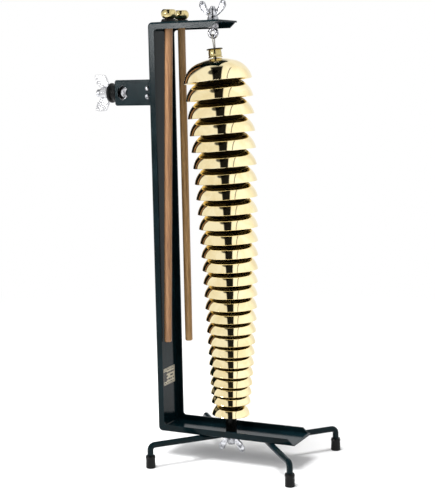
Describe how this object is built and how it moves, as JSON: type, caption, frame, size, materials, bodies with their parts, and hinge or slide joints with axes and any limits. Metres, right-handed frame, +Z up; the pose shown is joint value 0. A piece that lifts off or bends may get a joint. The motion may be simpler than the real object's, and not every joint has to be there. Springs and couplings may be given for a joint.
{
  "type": "bell tree",
  "caption": "Graded cup bells nested on a bowed cord inside a folded C-shaped stand with bent-rod legs, hanging beaters and a clamp for a mounting rod.",
  "frame": {"origin": "on the floor, at the middle of the bounding box's footprint", "axes": "+X from the post towards the open side of the frame, +Y to the back, +Z up along the line of bells"},
  "size_m": [0.2531, 0.1402, 0.4792],
  "materials": {
    "black_powder_coat": "gloss",
    "black_rubber": "satin",
    "black_plastic": "satin",
    "white_plastic": "satin",
    "printed_label": "satin",
    "cord": "matte",
    "polished_brass": "polished",
    "brass": "polished",
    "tan_wood": "satin",
    "honey_wood": "satin",
    "zinc_steel": "satin",
    "chrome_plate": "polished",
    "die_cast_zinc": "satin"
  },
  "bodies": {
    "stand": {"frame_post": "black_powder_coat", "frame_top_arm": "black_powder_coat", "frame_bottom_arm": "black_powder_coat", "leg_rod_left": "black_powder_coat", "leg_rod_right": "black_powder_coat", "clamp_bracket": "black_powder_coat", "clamp_block": "black_powder_coat", "rubber_feet": "black_rubber", "rest_tube": "black_rubber", "beater_grommets": "black_rubber", "clamp_sleeve": "black_plastic", "label_plate": "printed_label", "line_cord": "cord", "hanger_cord": "cord", "spacer_beads": "white_plastic", "top_ferrule": "brass", "eye_bolt": "zinc_steel", "eye_bolt_nut": "zinc_steel", "washer_top": "zinc_steel", "washer_bottom": "zinc_steel", "bottom_stud": "zinc_steel", "clamp_screws": "chrome_plate"},
    "beater_front": {"beater_stick_front": "tan_wood", "beater_head_front": "brass"},
    "beater_back": {"beater_stick_back": "honey_wood", "beater_head_back": "brass"},
    "clamp_nut": {"clamp_wing_nut": "die_cast_zinc"},
    "clamp_bolt": {"clamp_eye_bolt": "chrome_plate"},
    "top_nut": {"wing_nut_top": "chrome_plate"},
    "bottom_nut": {"wing_nut_bottom": "chrome_plate"},
    "bell_01": {"bell_01": "polished_brass"},
    "bell_02": {"bell_02": "polished_brass"},
    "bell_03": {"bell_03": "polished_brass"},
    "bell_04": {"bell_04": "polished_brass"},
    "bell_05": {"bell_05": "polished_brass"},
    "bell_06": {"bell_06": "polished_brass"},
    "bell_07": {"bell_07": "polished_brass"},
    "bell_08": {"bell_08": "polished_brass"},
    "bell_09": {"bell_09": "polished_brass"},
    "bell_10": {"bell_10": "polished_brass"},
    "bell_11": {"bell_11": "polished_brass"},
    "bell_12": {"bell_12": "polished_brass"},
    "bell_13": {"bell_13": "polished_brass"},
    "bell_14": {"bell_14": "polished_brass"},
    "bell_15": {"bell_15": "polished_brass"},
    "bell_16": {"bell_16": "polished_brass"},
    "bell_17": {"bell_17": "polished_brass"},
    "bell_18": {"bell_18": "polished_brass"},
    "bell_19": {"bell_19": "polished_brass"},
    "bell_20": {"bell_20": "polished_brass"},
    "bell_21": {"bell_21": "polished_brass"},
    "bell_22": {"bell_22": "polished_brass"},
    "bell_23": {"bell_23": "polished_brass"},
    "bell_24": {"bell_24": "polished_brass"},
    "bell_25": {"bell_25": "polished_brass"},
    "bell_26": {"bell_26": "polished_brass"}
  },
  "joints": [
    {"name": "beater_front_lift", "type": "slide", "parent": "stand", "child": "beater_front", "axis": [0.0321, 0, 0.9995], "range_m": [0, 0.345]},
    {"name": "beater_back_lift", "type": "slide", "parent": "stand", "child": "beater_back", "axis": [0, 0, 1], "range_m": [0, 0.345]},
    {"name": "clamp_nut_turn", "type": "hinge", "parent": "stand", "child": "clamp_nut", "pos_m": [-0.115, 0, 0.3875], "axis": [-1, 0, 0], "range_deg": [0, 1080]},
    {"name": "clamp_bolt_slide", "type": "slide", "parent": "stand", "child": "clamp_bolt", "axis": [1, 0, 0], "range_m": [0, 0.00375]},
    {"name": "top_nut_turn", "type": "hinge", "parent": "stand", "child": "top_nut", "pos_m": [0.0165, 0, 0.465], "axis": [0, 0, 1], "continuous": true},
    {"name": "bottom_nut_turn", "type": "hinge", "parent": "stand", "child": "bottom_nut", "pos_m": [0.0283, 0, 0.02], "axis": [0, 0, 1], "continuous": true},
    {"name": "bell_01_turn", "type": "hinge", "parent": "stand", "child": "bell_01", "pos_m": [0.01856, 0, 0.4211], "axis": [-0.095, 0, 0.9955], "continuous": true},
    {"name": "bell_02_turn", "type": "hinge", "parent": "stand", "child": "bell_02", "pos_m": [0.02027, 0, 0.40256], "axis": [-0.0881, 0, 0.9961], "continuous": true},
    {"name": "bell_03_turn", "type": "hinge", "parent": "stand", "child": "bell_03", "pos_m": [0.02182, 0, 0.38437], "axis": [-0.0814, 0, 0.9967], "continuous": true},
    {"name": "bell_04_turn", "type": "hinge", "parent": "stand", "child": "bell_04", "pos_m": [0.02321, 0, 0.36653], "axis": [-0.0748, 0, 0.9972], "continuous": true},
    {"name": "bell_05_turn", "type": "hinge", "parent": "stand", "child": "bell_05", "pos_m": [0.02447, 0, 0.34905], "axis": [-0.0683, 0, 0.9977], "continuous": true},
    {"name": "bell_06_turn", "type": "hinge", "parent": "stand", "child": "bell_06", "pos_m": [0.02558, 0, 0.33192], "axis": [-0.0619, 0, 0.9981], "continuous": true},
    {"name": "bell_07_turn", "type": "hinge", "parent": "stand", "child": "bell_07", "pos_m": [0.02657, 0, 0.31515], "axis": [-0.0557, 0, 0.9984], "continuous": true},
    {"name": "bell_08_turn", "type": "hinge", "parent": "stand", "child": "bell_08", "pos_m": [0.02744, 0, 0.29873], "axis": [-0.0496, 0, 0.9988], "continuous": true},
    {"name": "bell_09_turn", "type": "hinge", "parent": "stand", "child": "bell_09", "pos_m": [0.02819, 0, 0.28268], "axis": [-0.0437, 0, 0.999], "continuous": true},
    {"name": "bell_10_turn", "type": "hinge", "parent": "stand", "child": "bell_10", "pos_m": [0.02883, 0, 0.26698], "axis": [-0.0378, 0, 0.9993], "continuous": true},
    {"name": "bell_11_turn", "type": "hinge", "parent": "stand", "child": "bell_11", "pos_m": [0.02936, 0, 0.25164], "axis": [-0.0321, 0, 0.9995], "continuous": true},
    {"name": "bell_12_turn", "type": "hinge", "parent": "stand", "child": "bell_12", "pos_m": [0.02981, 0, 0.23666], "axis": [-0.0266, 0, 0.9996], "continuous": true},
    {"name": "bell_13_turn", "type": "hinge", "parent": "stand", "child": "bell_13", "pos_m": [0.03015, 0, 0.22204], "axis": [-0.0212, 0, 0.9998], "continuous": true},
    {"name": "bell_14_turn", "type": "hinge", "parent": "stand", "child": "bell_14", "pos_m": [0.03042, 0, 0.20778], "axis": [-0.0159, 0, 0.9999], "continuous": true},
    {"name": "bell_15_turn", "type": "hinge", "parent": "stand", "child": "bell_15", "pos_m": [0.0306, 0, 0.19389], "axis": [-0.0107, 0, 0.9999], "continuous": true},
    {"name": "bell_16_turn", "type": "hinge", "parent": "stand", "child": "bell_16", "pos_m": [0.03071, 0, 0.18035], "axis": [-0.0057, 0, 1], "continuous": true},
    {"name": "bell_17_turn", "type": "hinge", "parent": "stand", "child": "bell_17", "pos_m": [0.03076, 0, 0.16718], "axis": [-0.0008, 0, 1], "continuous": true},
    {"name": "bell_18_turn", "type": "hinge", "parent": "stand", "child": "bell_18", "pos_m": [0.03074, 0, 0.15438], "axis": [0.004, 0, 1], "continuous": true},
    {"name": "bell_19_turn", "type": "hinge", "parent": "stand", "child": "bell_19", "pos_m": [0.03066, 0, 0.14193], "axis": [0.0086, 0, 1], "continuous": true},
    {"name": "bell_20_turn", "type": "hinge", "parent": "stand", "child": "bell_20", "pos_m": [0.03053, 0, 0.12985], "axis": [0.0131, 0, 0.9999], "continuous": true},
    {"name": "bell_21_turn", "type": "hinge", "parent": "stand", "child": "bell_21", "pos_m": [0.03035, 0, 0.11813], "axis": [0.0174, 0, 0.9998], "continuous": true},
    {"name": "bell_22_turn", "type": "hinge", "parent": "stand", "child": "bell_22", "pos_m": [0.03013, 0, 0.10678], "axis": [0.0216, 0, 0.9998], "continuous": true},
    {"name": "bell_23_turn", "type": "hinge", "parent": "stand", "child": "bell_23", "pos_m": [0.02987, 0, 0.09579], "axis": [0.0257, 0, 0.9997], "continuous": true},
    {"name": "bell_24_turn", "type": "hinge", "parent": "stand", "child": "bell_24", "pos_m": [0.02957, 0, 0.08517], "axis": [0.0296, 0, 0.9996], "continuous": true},
    {"name": "bell_25_turn", "type": "hinge", "parent": "stand", "child": "bell_25", "pos_m": [0.02925, 0, 0.07491], "axis": [0.0334, 0, 0.9994], "continuous": true},
    {"name": "bell_26_turn", "type": "hinge", "parent": "stand", "child": "bell_26", "pos_m": [0.02875, 0, 0.06101], "axis": [0.0386, 0, 0.9993], "continuous": true}
  ],
  "couplings": [
    {"joint": "clamp_nut_turn", "follows": "clamp_bolt_slide", "rad_per_m": 5026.5}
  ]
}
